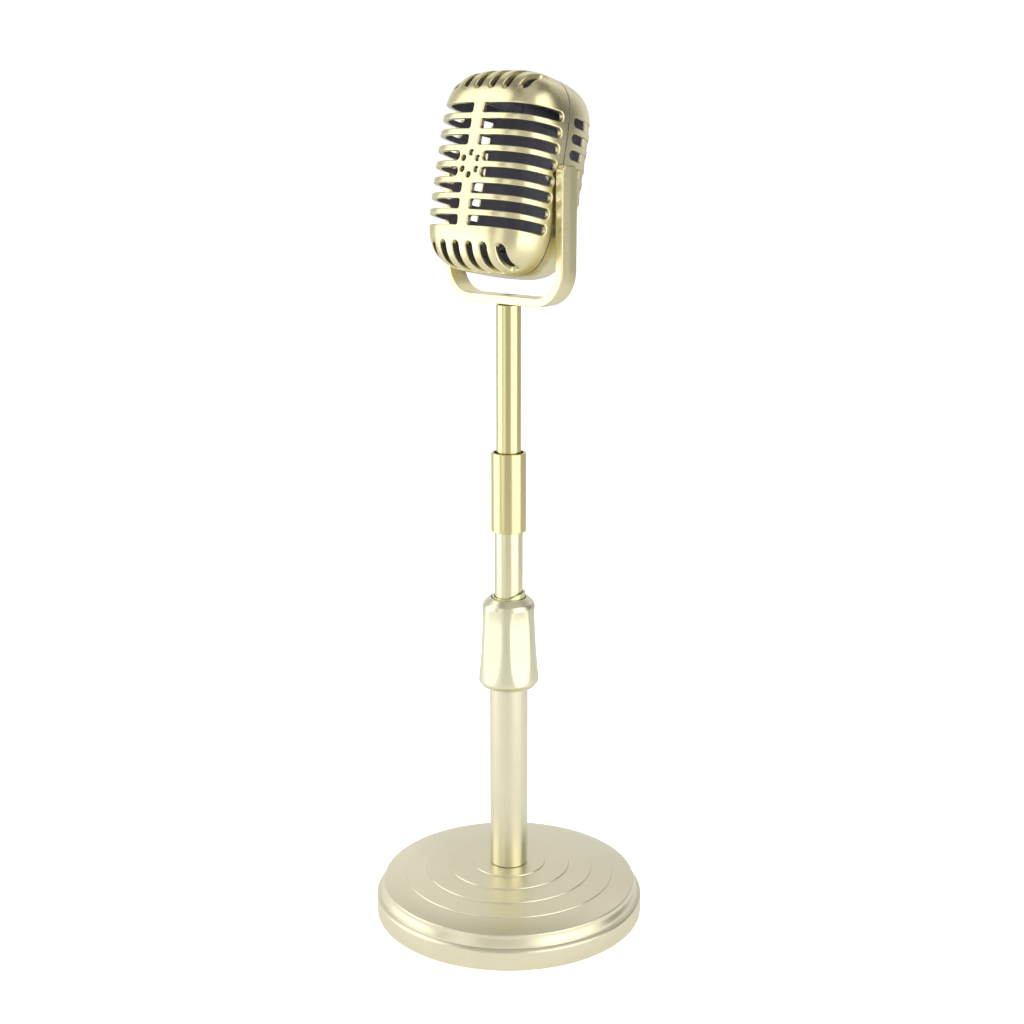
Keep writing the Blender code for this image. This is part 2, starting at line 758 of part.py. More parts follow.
def badge_holes():
    """Six small holes in a ring in the middle of the face."""
    holes = []
    for index in range(6):
        angle = math.radians(30 + 60 * index)
        across = BADGE_RING_R * math.cos(angle)
        up = BADGE_RING_R * math.sin(angle)
        low = (across, -FRONT_DEPTH - 0.005, up)
        high = (across, -FRONT_DEPTH + 0.005, up)
        holes.append(rod_mesh("badge_hole", BADGE_HOLE_R, low, high, steps=8))
    return joined_mesh("badge_holes", holes)


def window_boxes():
    """Cutters of the small side windows behind the seam."""
    boxes = []
    for height in row_heights():
        low = height - WINDOW_H / 2
        high = height + WINDOW_H / 2
        boxes.append(((HEAD_HALF / 2, WINDOW_Y[0], low), (FAR, WINDOW_Y[1], high)))
        boxes.append(((-FAR, WINDOW_Y[0], low), (-HEAD_HALF / 2, WINDOW_Y[1], high)))
    return boxes


def pivot_hole():
    """A bar through both sides at the seam, which clears the pivot screws."""
    return rod_mesh("pivot_hole", PIVOT_R + FIT + 0.0001, (-FAR, 0, 0), (FAR, 0, 0), steps=12)


def boss_mesh(name, radius, near, far):
    """The same cylinder at the bottom and the top screw boss, between two depths."""
    bottom = rod_mesh(name, radius, (0, near, -BOSS_Z), (0, far, -BOSS_Z), steps=12)
    top = rod_mesh(name, radius, (0, near, BOSS_Z), (0, far, BOSS_Z), steps=12)
    return joined_mesh(name, [bottom, top])


def front_shell(parent):
    """Front half: slotted grille with two hidden bosses for the screws."""
    half = head_half("front_shell", -1, FRONT_DEPTH, FRONT_POWER, FRONT_WALL, parent)
    bosses = boss_mesh("front_bosses", BOSS_FRONT_R, -SEAM_GAP, BOSS_FRONT_END)
    grille = [boxes_mesh("grille_slots", grille_boxes()), badge_holes(), pivot_hole()]
    pilots = boss_mesh("front_pilots", SHELL_SCREW_R + FIT, 0.001, PILOT_END)
    boolean(half, add_cutter("front_bosses", bosses, parent), "UNION")
    openings = joined_mesh("front_openings", grille + [pilots])
    boolean(half, add_cutter("front_openings", openings, parent), "DIFFERENCE")


def rear_shell(parent):
    """Rear half: side windows, and two counterbored bosses for the screws."""
    half = head_half("rear_shell", 1, REAR_DEPTH, REAR_POWER, REAR_WALL, parent)
    bosses = boss_mesh("rear_bosses", BOSS_REAR_R, SEAM_GAP, BOSS_REAR_END)
    seats = boss_mesh("rear_counterbores", SHELL_SCREW_HEAD_R + FIT, SHELL_SCREW_SEAT, FAR)
    openings = [boxes_mesh("side_windows", window_boxes()), pivot_hole()]
    hole_end = SHELL_SCREW_SEAT + 0.001
    openings.append(boss_mesh("rear_screw_holes", SHELL_SCREW_R + FIT, -0.001, hole_end))
    boolean(half, add_cutter("rear_bosses", bosses, parent), "UNION")
    boolean(half, add_cutter("rear_counterbores", seats, parent), "DIFFERENCE")
    openings = joined_mesh("rear_openings", openings)
    boolean(half, add_cutter("rear_openings", openings, parent), "DIFFERENCE")


def shell_screws(parent):
    for end, height in (("top", BOSS_Z), ("bottom", -BOSS_Z)):
        sizes = (SHELL_SCREW_R, SHELL_SCREW_HEAD_R, SHELL_SCREW_LENGTH, SHELL_SCREW_HEAD_H)
        screw = headed_screw(f"shell_screw_{end}", *sizes, parent)
        screw.location = (0, SHELL_SCREW_SEAT + FIT, height)
        screw.rotation_euler = (math.radians(-90), 0, 0)


def head():
    """Everything that tilts, under an empty on the pivot axis."""
    pivot = bpy.data.objects.new("head_pivot", None)
    pivot.location = (0, 0, PIVOT_Z)
    pivot.rotation_euler = (-HEAD_TILT, 0, 0)
    PARTS.objects.link(pivot)
    front_shell(pivot)
    rear_shell(pivot)
    shell_screws(pivot)


clear_scene()
PARTS = new_collection("stand_microphone")
CUTTERS = new_collection("cutters")
foot()
lower_mast()
twist_lock()
sliding_mast()
yoke()
yoke_screw()
pivot_fixings()
head()
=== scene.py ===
"""Visual model of a vintage-style prop microphone on a telescoping table stand.

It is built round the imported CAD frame. Shape functions work in millimetres. Round pieces are
turned from profiles with rounded corners. The head's shells, the yoke and the collet are carved
from distance fields, which gives every moulded edge its radius, and are then meshed.
"""

import json
import math

import bmesh
import bpy
import numpy as np
from mathutils import Matrix, Vector

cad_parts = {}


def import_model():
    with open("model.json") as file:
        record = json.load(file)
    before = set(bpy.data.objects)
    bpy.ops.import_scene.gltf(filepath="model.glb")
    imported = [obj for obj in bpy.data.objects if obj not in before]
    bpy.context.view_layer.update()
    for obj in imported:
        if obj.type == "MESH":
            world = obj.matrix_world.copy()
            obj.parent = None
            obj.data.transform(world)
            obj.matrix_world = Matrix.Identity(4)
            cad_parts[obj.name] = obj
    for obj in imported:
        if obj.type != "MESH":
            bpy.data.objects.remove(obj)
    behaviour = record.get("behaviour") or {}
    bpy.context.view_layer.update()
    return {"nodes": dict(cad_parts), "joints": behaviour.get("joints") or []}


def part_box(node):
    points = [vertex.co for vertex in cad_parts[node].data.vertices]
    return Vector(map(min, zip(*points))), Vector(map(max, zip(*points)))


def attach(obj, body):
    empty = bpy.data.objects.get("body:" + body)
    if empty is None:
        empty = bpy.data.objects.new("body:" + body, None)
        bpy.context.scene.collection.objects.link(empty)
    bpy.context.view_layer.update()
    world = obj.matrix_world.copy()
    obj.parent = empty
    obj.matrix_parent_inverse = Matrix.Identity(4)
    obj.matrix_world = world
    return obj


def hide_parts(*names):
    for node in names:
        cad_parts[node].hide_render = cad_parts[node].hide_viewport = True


MM = 0.001
FAR = 60.0

# Head, in its own frame: X across, Y from front to back, Z up, all in mm
FRONT_POWER = 3.3
REAR_POWER = 2.3
TOP_POWERS = (2.4, 6.0)
BOTTOM_POWERS = (4.2, 4.2)
FRONT_WALL = 2.5
REAR_WALL = 1.8
FRONT_PAINT = 2.3
REAR_PAINT = 1.2
# Widths beside the seam whose faces are painted black: painted shade for the dark shadow gap between
# the shells
FRONT_SEAM_SHADE = 0.06
REAR_SEAM_SHADE = 0.35
SEAM_GAP = 0.4
REAR_INSET = 0.1
SHELL_CELL = 0.42
SHELL_EDGE = 0.55

# Openings of the head
ROWS = 8
ROW_PITCH = 6.67
SLOT_H = 4.1
SLOT_END_Y = 3.8
BAR_HALF = 2.95
BADGE_BAR_HALF = 6.6
BAR_CORNER = 1.0
BADGE_Y = -10
BADGE_RING_R = 4.6
BADGE_HOLE_R = 1.22
END_SLOTS = 6
END_SLOT_PITCH = 7.8
END_SLOT_W = 3.8
END_SLOT_Z = 31.8
END_SLOT_Y = 7.0
WINDOW_START_Y = 3.3
WINDOW_END_Y = 12.9
WINDOW_INNER_X = 15
WINDOW_H = 3.9
GROOVE_DEPTH = 0.32

# Screw bosses and pivot holes of the head
BOSS_Z = 28.4
BOSS_FRONT_R = 2.7
BOSS_REAR_R = 4.0
BOSS_INSET = 0.4
SCREW_HOLE_R = 1.5
PILOT_DEPTH = 12.5
SCREW_SEAT_R = 3.1
SCREW_SEAT_Y = 20
PIVOT_HOLE_R = 2.1

# Yoke
YOKE_T = 4.0
YOKE_W = 9.5
YOKE_BEND = 16.0
YOKE_EDGE = 0.4
YOKE_TIP_R = 3.2
YOKE_RIDGE = 0.2
YOKE_HOLE_R = 1.9
YOKE_SINK_R = 3.3
YOKE_POCKET_R = 2.0
YOKE_WEB = 0.7
YOKE_CELL = 0.4

# Stand and mast
LATHE_STEPS = 144
STEP_RADII = (16.8, 28.2, 38.9, 48.8)
STEP_H = 0.48
PLATE_R = 59.0
DOME_POWER = 3.0
DOME_RISE = 7.6
COVER_WALL = 2.4
COVER_HOLE_R = 4.1
HUB_R = 14.0
HUB_Z = 12.3
PAD_WIDTH = 47.6
LOWER_WALL = 1.3
INNER_WALL = 1.0
COLLAR_WALL = 1.15
ROD_WALL = 1.1
NUT_FLATS = 6
NUT_FLAT_DEPTH = 0.9
NUT_PHASE = math.radians(8)
COLLET_NECK_R = 7.6
COLLET_BORE = 6.65
COLLET_FLANGE_TOP = 143.7
COLLET_LOW_TOP = 153.6
COLLET_SLOPE = 0.342
COLLET_LIP_ANGLE = math.radians(35)
COLLET_SLOT = 1.2
COLLET_CELL = 0.3

# Camera, world and floor. Angles are in degrees, the distance and height in metres.
CAMERA_AZIMUTH = 43.03
CAMERA_DISTANCE = 0.68907
CAMERA_HEIGHT = 0.35795
CAMERA_PITCH = 13.493
CAMERA_PAN = -0.123
CAMERA_LENS = 55.456
FLOOR_GLOW = 0.21
FLOOR_GLOW_SEEN = 0.95
WORLD_BEFORE = 0.66
WORLD_BEHIND = 0.81
WORLD_ABOVE = 0.25
WORLD_SEEN = 1.05

# Azimuth from the camera's, distance, width, lower edge, upper edge, watts and height aimed at.
# Panels without that height stand upright. The last two are overhead.
SOFTBOXES = (
    (-88, 0.55, 0.5, 0.0, 0.95, 2.45),
    (52, 0.55, 0.62, 0.0, 0.95, 2.6),
    (-40, 0.8, 0.3, 0.0, 0.9, 0.67),
    (-140, 0.7, 0.7, 0.0, 0.8, 0.29),
    (125, 0.7, 0.6, 0.3, 1.1, 0.43),
    (0, 0.35, 1.2, 1.3, 2.5, 1.1, 0.3),
    (175, 1.0, 1.5, 1.0, 2.0, 1.2, 0.3),
)


# ---------------------------------------------------------------- materials

def node_material(name):
    material = bpy.data.materials.new(name)
    material.use_nodes = True
    return material, material.node_tree, material.node_tree.nodes["Principled BSDF"]


def noise(tree, scale, detail=2.0, stretch=(1.0, 1.0, 1.0)):
    """Noise in the object's own coordinates. scale is in features per metre."""
    coords = tree.nodes.new("ShaderNodeTexCoord")
    mapping = tree.nodes.new("ShaderNodeMapping")
    mapping.inputs["Scale"].default_value = stretch
    texture = tree.nodes.new("ShaderNodeTexNoise")
    texture.inputs["Scale"].default_value = scale
    texture.inputs["Detail"].default_value = detail
    tree.links.new(coords.outputs["Object"], mapping.inputs["Vector"])
    tree.links.new(mapping.outputs["Vector"], texture.inputs["Vector"])
    return texture.outputs["Fac"]


def remap(tree, value, low, high, start=0.3, end=0.7):
    node = tree.nodes.new("ShaderNodeMapRange")
    node.inputs["From Min"].default_value = start
    node.inputs["From Max"].default_value = end
    node.inputs["To Min"].default_value = low
    node.inputs["To Max"].default_value = high
    tree.links.new(value, node.inputs["Value"])
    return node.outputs["Result"]


def blend_colour(tree, factor, first, second):
    node = tree.nodes.new("ShaderNodeMix")
    node.data_type = "RGBA"
    node.inputs["A"].default_value = (*first, 1.0)
    node.inputs["B"].default_value = (*second, 1.0)
    tree.links.new(factor, node.inputs["Factor"])
    return node.outputs["Result"]


def bump(tree, shader, height, strength, distance):
    node = tree.nodes.new("ShaderNodeBump")
    node.inputs["Strength"].default_value = strength
    node.inputs["Distance"].default_value = distance
    tree.links.new(height, node.inputs["Height"])
    tree.links.new(node.outputs["Normal"], shader.inputs["Normal"])


def shaded(colour, share):
    return tuple(channel * share for channel in colour)


def lacquer(name, colour, roughness, flake=4200.0, grain=0.06, coat=0.3, rings=0.0):
    """Metallic lacquer: fine flakes in colour and roughness, broad clouding, a faint orange peel.

    rings adds the faint level marks that turning leaves on a tube.
    """
    material, tree, shader = node_material(name)
    flakes = noise(tree, flake, detail=1.0)
    clouds = noise(tree, 55.0, detail=3.0)
    mixed = tree.nodes.new("ShaderNodeMath")
    mixed.operation = "MULTIPLY_ADD"
    mixed.inputs[1].default_value = 0.45
    tree.links.new(clouds, mixed.inputs[0])
    tree.links.new(remap(tree, flakes, 0.0, 0.55), mixed.inputs[2])
    hue = blend_colour(tree, mixed.outputs["Value"], shaded(colour, 0.9), shaded(colour, 1.06))
    tree.links.new(hue, shader.inputs["Base Color"])
    height = flakes
    if rings:
        marks = noise(tree, 1600.0, detail=3.0, stretch=(0.01, 0.01, 1.0))
        height = tree.nodes.new("ShaderNodeMath")
        height.operation = "MULTIPLY_ADD"
        height.inputs[1].default_value = rings
        tree.links.new(marks, height.inputs[0])
        tree.links.new(flakes, height.inputs[2])
        height = height.outputs["Value"]
    rough = remap(tree, height, roughness * 0.82, roughness * 1.2, 0.3, 0.7 + rings)
    tree.links.new(rough, shader.inputs["Roughness"])
    shader.inputs["Metallic"].default_value = 1.0
    shader.inputs["Coat Weight"].default_value = coat
    shader.inputs["Coat Roughness"].default_value = 0.2
    bump(tree, shader, height, grain, 0.00006)
    return material


def moulded_plastic(name, colour, roughness):
    """Glossy moulded plastic with faint flow marks."""
    material, tree, shader = node_material(name)
    flow = noise(tree, 70.0, detail=4.0, stretch=(1.0, 1.0, 0.3))
    fine = noise(tree, 1500.0)
    tone = blend_colour(tree, flow, shaded(colour, 0.8), shaded(colour, 1.25))
    tree.links.new(tone, shader.inputs["Base Color"])
    tree.links.new(remap(tree, flow, roughness * 0.75, roughness * 1.3), shader.inputs["Roughness"])
    bump(tree, shader, fine, 0.05, 0.00005)
    return material


def plated_steel(name, colour, roughness):
    """Zinc-plated or cast metal with a fine mottle."""
    material, tree, shader = node_material(name)
    mottle = noise(tree, 420.0, detail=5.0)
    tone = blend_colour(tree, mottle, shaded(colour, 0.75), shaded(colour, 1.15))
    tree.links.new(tone, shader.inputs["Base Color"])
    tree.links.new(remap(tree, mottle, roughness * 0.7, roughness * 1.4), shader.inputs["Roughness"])
    shader.inputs["Metallic"].default_value = 1.0
    bump(tree, shader, mottle, 0.12, 0.00008)
    return material


def foam(name):
    """Black cellular foam under the foot."""
    material, tree, shader = node_material(name)
    coords = tree.nodes.new("ShaderNodeTexCoord")
    cells = tree.nodes.new("ShaderNodeTexVoronoi")
    cells.inputs["Scale"].default_value = 2200.0
    tree.links.new(coords.outputs["Object"], cells.inputs["Vector"])
    tone = blend_colour(tree, cells.outputs["Distance"], (0.012, 0.012, 0.012), (0.045, 0.045, 0.045))
    tree.links.new(tone, shader.inputs["Base Color"])
    shader.inputs["Roughness"].default_value = 0.92
    bump(tree, shader, cells.outputs["Distance"], 0.6, 0.0002)
    return material


def make_looks():
    return {
        "head": lacquer("head_gold", (0.82, 0.75, 0.44), 0.29, coat=0.5),
        "yoke": lacquer("yoke_gold", (0.84, 0.765, 0.45), 0.26),
        "rod": lacquer("rod_gold", (0.77, 0.685, 0.345), 0.24, rings=0.8),
        "pale": lacquer("pale_gold", (0.82, 0.79, 0.50), 0.24, rings=0.5),
        "stand": lacquer("stand_gold", (0.86, 0.81, 0.59), 0.36, flake=2600.0, grain=0.12, coat=0.2),
        "nut": lacquer("stand_plastic", (0.84, 0.80, 0.57), 0.33, flake=2600.0),
        # Bare black plastic inside the shells, also laid on the faces beside the seam as painted shade
        "inside": moulded_plastic("black_inside_and_seam_shade", (0.17, 0.165, 0.21), 0.3),
        "nylon": moulded_plastic("nylon", (0.72, 0.71, 0.66), 0.45),
        "zinc": plated_steel("zinc", (0.55, 0.56, 0.57), 0.32),
        "iron": plated_steel("iron", (0.11, 0.11, 0.11), 0.6),
        "foam": foam("foam"),
    }


# ---------------------------------------------------------------- mesh helpers

def add_piece(name, mesh, look, body, node):
    """A visible piece that stands for one CAD node and rides on its body."""
    mesh.materials.append(LOOKS[look])
    piece = bpy.data.objects.new(name, mesh)
    bpy.context.scene.collection.objects.link(piece)
    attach(piece, body)
    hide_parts(node)
    return piece


def rounded_profile(corners, segments=4):
    """Profile points from (radius, height, corner radius), each corner turned into a short arc."""
    points = []
    for index, (x, z, size) in enumerate(corners):
        here = np.array((x, z))
        before = np.array(corners[index - 1][:2])
        after = np.array(corners[(index + 1) % len(corners)][:2])
        if size <= 0:
            points.append(here)
            continue
        into = (before - here) / np.linalg.norm(before - here)
        out = (after - here) / np.linalg.norm(after - here)
        for step in range(segments + 1):
            share = step / segments
            points.append(here + size * ((1 - share) ** 2 * into + share**2 * out))
    return points


def lathe(name, corners, shape=None):
    """Turn a closed rounded profile about Z. shape may bend each radius inwards."""
    bm = bmesh.new()
    rings = []
    for radius, height in rounded_profile(corners):
        ring = []
        for step in range(LATHE_STEPS):
            angle = 2 * math.pi * step / LATHE_STEPS
            reach = MM * (shape(radius, angle, height) if shape else radius)
            ring.append(bm.verts.new((reach * math.cos(angle), reach * math.sin(angle), height * MM)))
        rings.append(ring)
    for upper, lower in zip(rings, rings[1:] + rings[:1]):
        for step in range(LATHE_STEPS):
            after = (step + 1) % LATHE_STEPS
            bm.faces.new((upper[step], lower[step], lower[after], upper[after]))
    mesh = bpy.data.meshes.new(name)
    bmesh.ops.recalc_face_normals(bm, faces=bm.faces)
    bm.to_mesh(mesh)
    bm.free()
    mesh.shade_smooth()
    mesh.set_sharp_from_angle(angle=math.radians(32))
    return mesh


def soften(piece):
    """Face-area weighted normals, so that flats shade flat beside small radii."""
    weighted = piece.modifiers.new("Weighted normals", "WEIGHTED_NORMAL")
    weighted.keep_sharp = True


def gradient(field, points, reach=0.02):
    slope = np.empty_like(points)
    for axis in range(3):
        step = np.zeros(3)
        step[axis] = reach
        slope[:, axis] = (field(points + step) - field(points - step)) / (2 * reach)
    return slope


def crossings(values, origin, cell):
    """Mean of the zero crossings on each cell's edges, and how many there are."""
    shape = np.array(values.shape) - 1
    total = np.zeros((*shape, 3))
    count = np.zeros(shape)
    for axis in range(3):
        first = np.moveaxis(values, axis, 0)[:-1]
        second = np.moveaxis(values, axis, 0)[1:]
        crossed = (first < 0) != (second < 0)
        where = np.argwhere(crossed)
        share = first[crossed] / (first[crossed] - second[crossed])
        others = [(axis + 1) % 3, (axis + 2) % 3]
        order = [axis] + [other for other in range(3) if other != axis]
        index = np.empty_like(where)
        index[:, order] = where
        point = origin + cell * index.astype(float)
        point[:, axis] += cell * share
        for step_b in (0, 1):
            for step_c in (0, 1):
                owner = index.copy()
                owner[:, others[0]] -= step_b
                owner[:, others[1]] -= step_c
                valid = np.all((owner >= 0) & (owner < shape), axis=1)
                key = tuple(owner[valid].T)
                np.add.at(total, key, point[valid])
                np.add.at(count, key, 1)
    return total, count


def net_faces(values, numbers):
    """One quad per crossed grid edge, between the vertices of the four cells round it."""
    faces = []
    for axis in range(3):
        side_b, side_c = (axis + 1) % 3, (axis + 2) % 3
        first = np.moveaxis(values, axis, 0)[:-1] < 0
        second = np.moveaxis(values, axis, 0)[1:] < 0
        order = [axis] + [other for other in range(3) if other != axis]
        for leaving in (True, False):
            found = np.argwhere((first & ~second) if leaving else (~first & second))
            index = np.empty_like(found)
            index[:, order] = found
            corners = []
            for step_b, step_c in ((1, 1), (0, 1), (0, 0), (1, 0)):
                cell = index.copy()
                cell[:, side_b] -= step_b
                cell[:, side_c] -= step_c
                corners.append(numbers[tuple(cell.T)])
            quads = np.stack(corners, axis=1)
            faces.append(quads if leaving else quads[:, ::-1])
    return np.concatenate(faces)


def carved(field, low, high, cell):
    """Mesh of a distance field's surface, its points on the surface and its normals the field's."""
    low = np.array(low, dtype=float) - 1.5 * cell
    counts = np.ceil((np.array(high) + 1.5 * cell - low) / cell).astype(int) + 1
    axes = [low[axis] + cell * np.arange(counts[axis]) for axis in range(3)]
    grid = np.stack(np.meshgrid(*axes, indexing="ij"), axis=-1).reshape(-1, 3)
    values = field(grid).reshape(counts)
    total, count = crossings(values, low, cell)
    used = count > 0
    numbers = np.full(used.shape, -1)
    numbers[used] = np.arange(used.sum())
    points = total[used] / count[used][:, None]
    for _ in range(4):
        slope = gradient(field, points)
        move = slope * (field(points) / np.maximum((slope**2).sum(axis=1), 0.2))[:, None]
        length = np.linalg.norm(move, axis=1, keepdims=True)
        points -= move * np.minimum(1.0, 0.4 * cell / np.maximum(length, 1e-9))
    slope = gradient(field, points)
    normals = slope / np.maximum(np.linalg.norm(slope, axis=1, keepdims=True), 1e-9)
    return points, net_faces(values, numbers), normals


def mesh_of(name, points, faces, normals, place):
    """A mesh from carved points in mm, moved to its place in the row frame."""
    turn = np.array(place.to_3x3())
    points = points * MM @ turn.T + np.array(place.translation)
    normals = normals @ turn.T
    mesh = bpy.data.meshes.new(name)
    mesh.from_pydata(points.tolist(), [], faces.tolist())
    mesh.shade_smooth()
    mesh.normals_split_custom_set_from_vertices(normals.tolist())
    return mesh


# ---------------------------------------------------------------- distance fields

def meet(first, second, radius):
    """Both fields at once, with a rounded outer edge where they cross."""
    over = np.hypot(np.maximum(first + radius, 0), np.maximum(second + radius, 0))
    return np.minimum(np.maximum(first, second), -radius) + over


def join(first, second, radius):
    """Either field, with a fillet where they cross."""
    return -meet(-first, -second, radius)


def box_2d(across, up, half_across, half_up, radius):
    """A rectangle about the origin with rounded corners."""
    gap_a = np.abs(across) - half_across + radius
    gap_b = np.abs(up) - half_up + radius
    outside = np.hypot(np.maximum(gap_a, 0), np.maximum(gap_b, 0))
    return np.minimum(np.maximum(gap_a, gap_b), 0) + outside - radius


def from_start(value, start):
    """For a slot from start to far past the shell: the place from its middle, and its half length."""
    return value - (start + FAR) / 2, (FAR - start) / 2


def skin(x, y, z, half, depth, height, power):
    """Distance to the head's skin.

    Level sections are superellipses of the given power. Upright sections have two powers,
    sideways and upwards. root is the power the two act as together at a point.
    """
    ax, ay, az = np.abs(x) / half, np.abs(y) / depth, np.abs(z) / height
    side = np.where(z > 0, TOP_POWERS[0], BOTTOM_POWERS[0])
    end = np.where(z > 0, TOP_POWERS[1], BOTTOM_POWERS[1])
    level = np.maximum(ax**power + ay**power, 1e-9) ** (1 / power)
    total = level**side + az**end
    root = (side * level**side + end * az**end) / total
    size = total ** (1 / root)
    common = size / (total * root)
    along = common * side * level ** (side - power)
    slope_x = along * ax ** (power - 1) / half
    slope_y = along * ay ** (power - 1) / depth
    slope_z = common * end * az ** (end - 1) / height
    slope = np.sqrt(slope_x**2 + slope_y**2 + slope_z**2)
    return (size - 1) / np.maximum(slope, 0.01)


def nearest_row(z):
    """Number of the nearest row of slots, and its height."""
    row = np.clip(np.round(z / ROW_PITCH + (ROWS - 1) / 2), 0, ROWS - 1)
    return row, (row - (ROWS - 1) / 2) * ROW_PITCH


def level_slots(x, y, z):
    """Slots on both sides of the centre bar, which is wider beside the badge."""
    row, height = nearest_row(z)
    badge = np.abs(row - (ROWS - 1) / 2) < 1
    up = z - height
    across, half = from_start(np.abs(x), BAR_HALF)
    plain = box_2d(across, up, half, SLOT_H / 2, BAR_CORNER)
    across, half = from_start(np.abs(x), BADGE_BAR_HALF)
    short = box_2d(across, up, half, SLOT_H / 2, SLOT_H / 2)
    back, half = from_start(-y, SLOT_END_Y)
    side = box_2d(back, up, half, SLOT_H / 2, SLOT_H / 2)
    return np.maximum(np.where(badge, short, plain), side)


def end_slots(x, y, z):
    """Upright slots over the top and bottom."""
    number = np.clip(np.round(x / END_SLOT_PITCH + (END_SLOTS - 1) / 2), 0, END_SLOTS - 1)
    across = x - (number - (END_SLOTS - 1) / 2) * END_SLOT_PITCH
    up, half = from_start(np.abs(z), END_SLOT_Z)
    face = box_2d(across, up, END_SLOT_W / 2, half, END_SLOT_W / 2)
    back, half = from_start(-y, END_SLOT_Y)
    top = box_2d(across, back, END_SLOT_W / 2, half, END_SLOT_W / 2)
    return np.maximum(face, top)


def badge_holes(x, z):
    """Six small holes in a ring in the middle of the face."""
    angle = np.arctan2(z, x) - math.pi / 6
    sector = math.pi / 3
    off = angle - np.round(angle / sector) * sector
    ring = np.hypot(x, z)
    return np.hypot(ring * np.cos(off) - BADGE_RING_R, ring * np.sin(off)) - BADGE_HOLE_R


def front_outside(points):
    x, y, z = points.T
    half, height, depth = HEAD["half"], HEAD["height"], HEAD["front_depth"]
    return skin(x, np.minimum(y + SEAM_GAP / 2, 0), z, half, depth, height, FRONT_POWER)


def front_field(points):
    """Front half of the head: the slotted grille, with two bosses behind it."""
    x, y, z = points.T
    outer = front_outside(points)
    body = np.maximum(outer, -(outer + FRONT_WALL))
    boss = np.hypot(x, np.abs(z) - BOSS_Z)
    body = join(body, np.maximum(boss - BOSS_FRONT_R, outer + BOSS_INSET), 0.5)
    openings = np.minimum(level_slots(x, y, z), end_slots(x, y, z))
    openings = np.minimum(openings, np.where(y < BADGE_Y, badge_holes(x, z), FAR))
    body = meet(body, -openings, SHELL_EDGE)
    pilot = np.maximum(boss - SCREW_HOLE_R, -PILOT_DEPTH - y)
    pivot = np.hypot(y, z) - PIVOT_HOLE_R
    body = np.maximum(body, -np.minimum(pilot, pivot))
    return meet(body, y + SEAM_GAP / 2, 0.18)


def rear_outside(points):
    x, y, z = points.T
    half, height = HEAD["half"] - REAR_INSET, HEAD["height"] - REAR_INSET
    return skin(x, np.maximum(y - SEAM_GAP / 2, 0), z, half, HEAD["rear_depth"], height, REAR_POWER)


def rear_rows(x, y, z):
    """The windows' rows: where they start behind the seam, and where the windows end."""
    _, height = nearest_row(z)
    up = z - height
    back, half = from_start(y, WINDOW_START_Y)
    start = box_2d(back, up, half, WINDOW_H / 2, WINDOW_H / 2)
    ahead, half = from_start(-y, -WINDOW_END_Y)
    end = box_2d(ahead, up, half, WINDOW_H / 2, 0.5)
    across, half = from_start(np.abs(x), BAR_HALF)
    bar = box_2d(across, up, half, WINDOW_H / 2, BAR_CORNER)
    return start, end, bar


def rear_field(points):
    """Rear half of the head: side windows that run on as shallow grooves, and two screw bosses."""
    x, y, z = points.T
    outer = rear_outside(points)
    start, end, bar = rear_rows(x, y, z)
    groove = np.maximum(np.maximum(start, bar), -(outer + GROOVE_DEPTH))
    body = np.maximum(meet(outer, -groove, 0.12), -(outer + REAR_WALL))
    boss = np.hypot(x, np.abs(z) - BOSS_Z)
    body = join(body, np.maximum(boss - BOSS_REAR_R, outer + BOSS_INSET), 0.5)
    window = np.maximum(np.maximum(start, end), WINDOW_INNER_X - np.abs(x))
    body = meet(body, -window, 0.3)
    seat = np.maximum(boss - SCREW_SEAT_R, SCREW_SEAT_Y - y)
    body = meet(body, -np.minimum(seat, boss - SCREW_HOLE_R), 0.25)
    pivot = np.hypot(y, z) - PIVOT_HOLE_R
    body = np.maximum(body, -pivot)
    return meet(body, SEAM_GAP / 2 - y, 0.18)


def yoke_line(x, z, half, bottom, bend):
    """Distance to a U's outline: upright sides, a flat bottom and round bends."""
    across = np.abs(x) - half + bend
    down = bottom + bend - z
    corner = np.hypot(np.maximum(across, 0), np.maximum(down, 0))
    return np.minimum(np.maximum(across, down), 0) + corner - bend


def yoke_field(points):
    """U of flat bar with round arm tops, soft edges and a faint ridge along its outer face."""
    x, y, z = points.T
    half, bottom, pivot = YOKE["half"], YOKE["bottom"], YOKE["pivot"]
    outer = yoke_line(x, z, half, bottom, YOKE_BEND)
    outer = outer + YOKE_RIDGE * np.maximum(np.abs(y) - 0.25, 0) / (YOKE_W / 2)
    inner = yoke_line(x, z, half - YOKE_T, bottom + YOKE_T, YOKE_BEND - YOKE_T)
    rise, tall = z - pivot + 30, YOKE_W / 2 + 30
    tip = box_2d(y, rise, YOKE_W / 2, tall, YOKE_TIP_R)
    side = np.where(z > pivot - 10, tip, np.abs(y) - YOKE_W / 2)
    body = meet(np.maximum(outer, -inner), side, YOKE_EDGE)
    hole = np.hypot(x, y) - YOKE_HOLE_R
    sink = (np.hypot(x, y) - (YOKE_SINK_R - (bottom + YOKE_T - z))) * math.sqrt(0.5)
    low = np.maximum(np.minimum(hole, np.where(z < bottom + YOKE_T + 3, sink, FAR)), z - bottom - 6)
    body = meet(body, -low, 0.15)
    pocket = np.maximum(np.hypot(y, z - pivot) - YOKE_POCKET_R, np.abs(x) - half + YOKE_WEB)
    return np.maximum(body, -pocket)


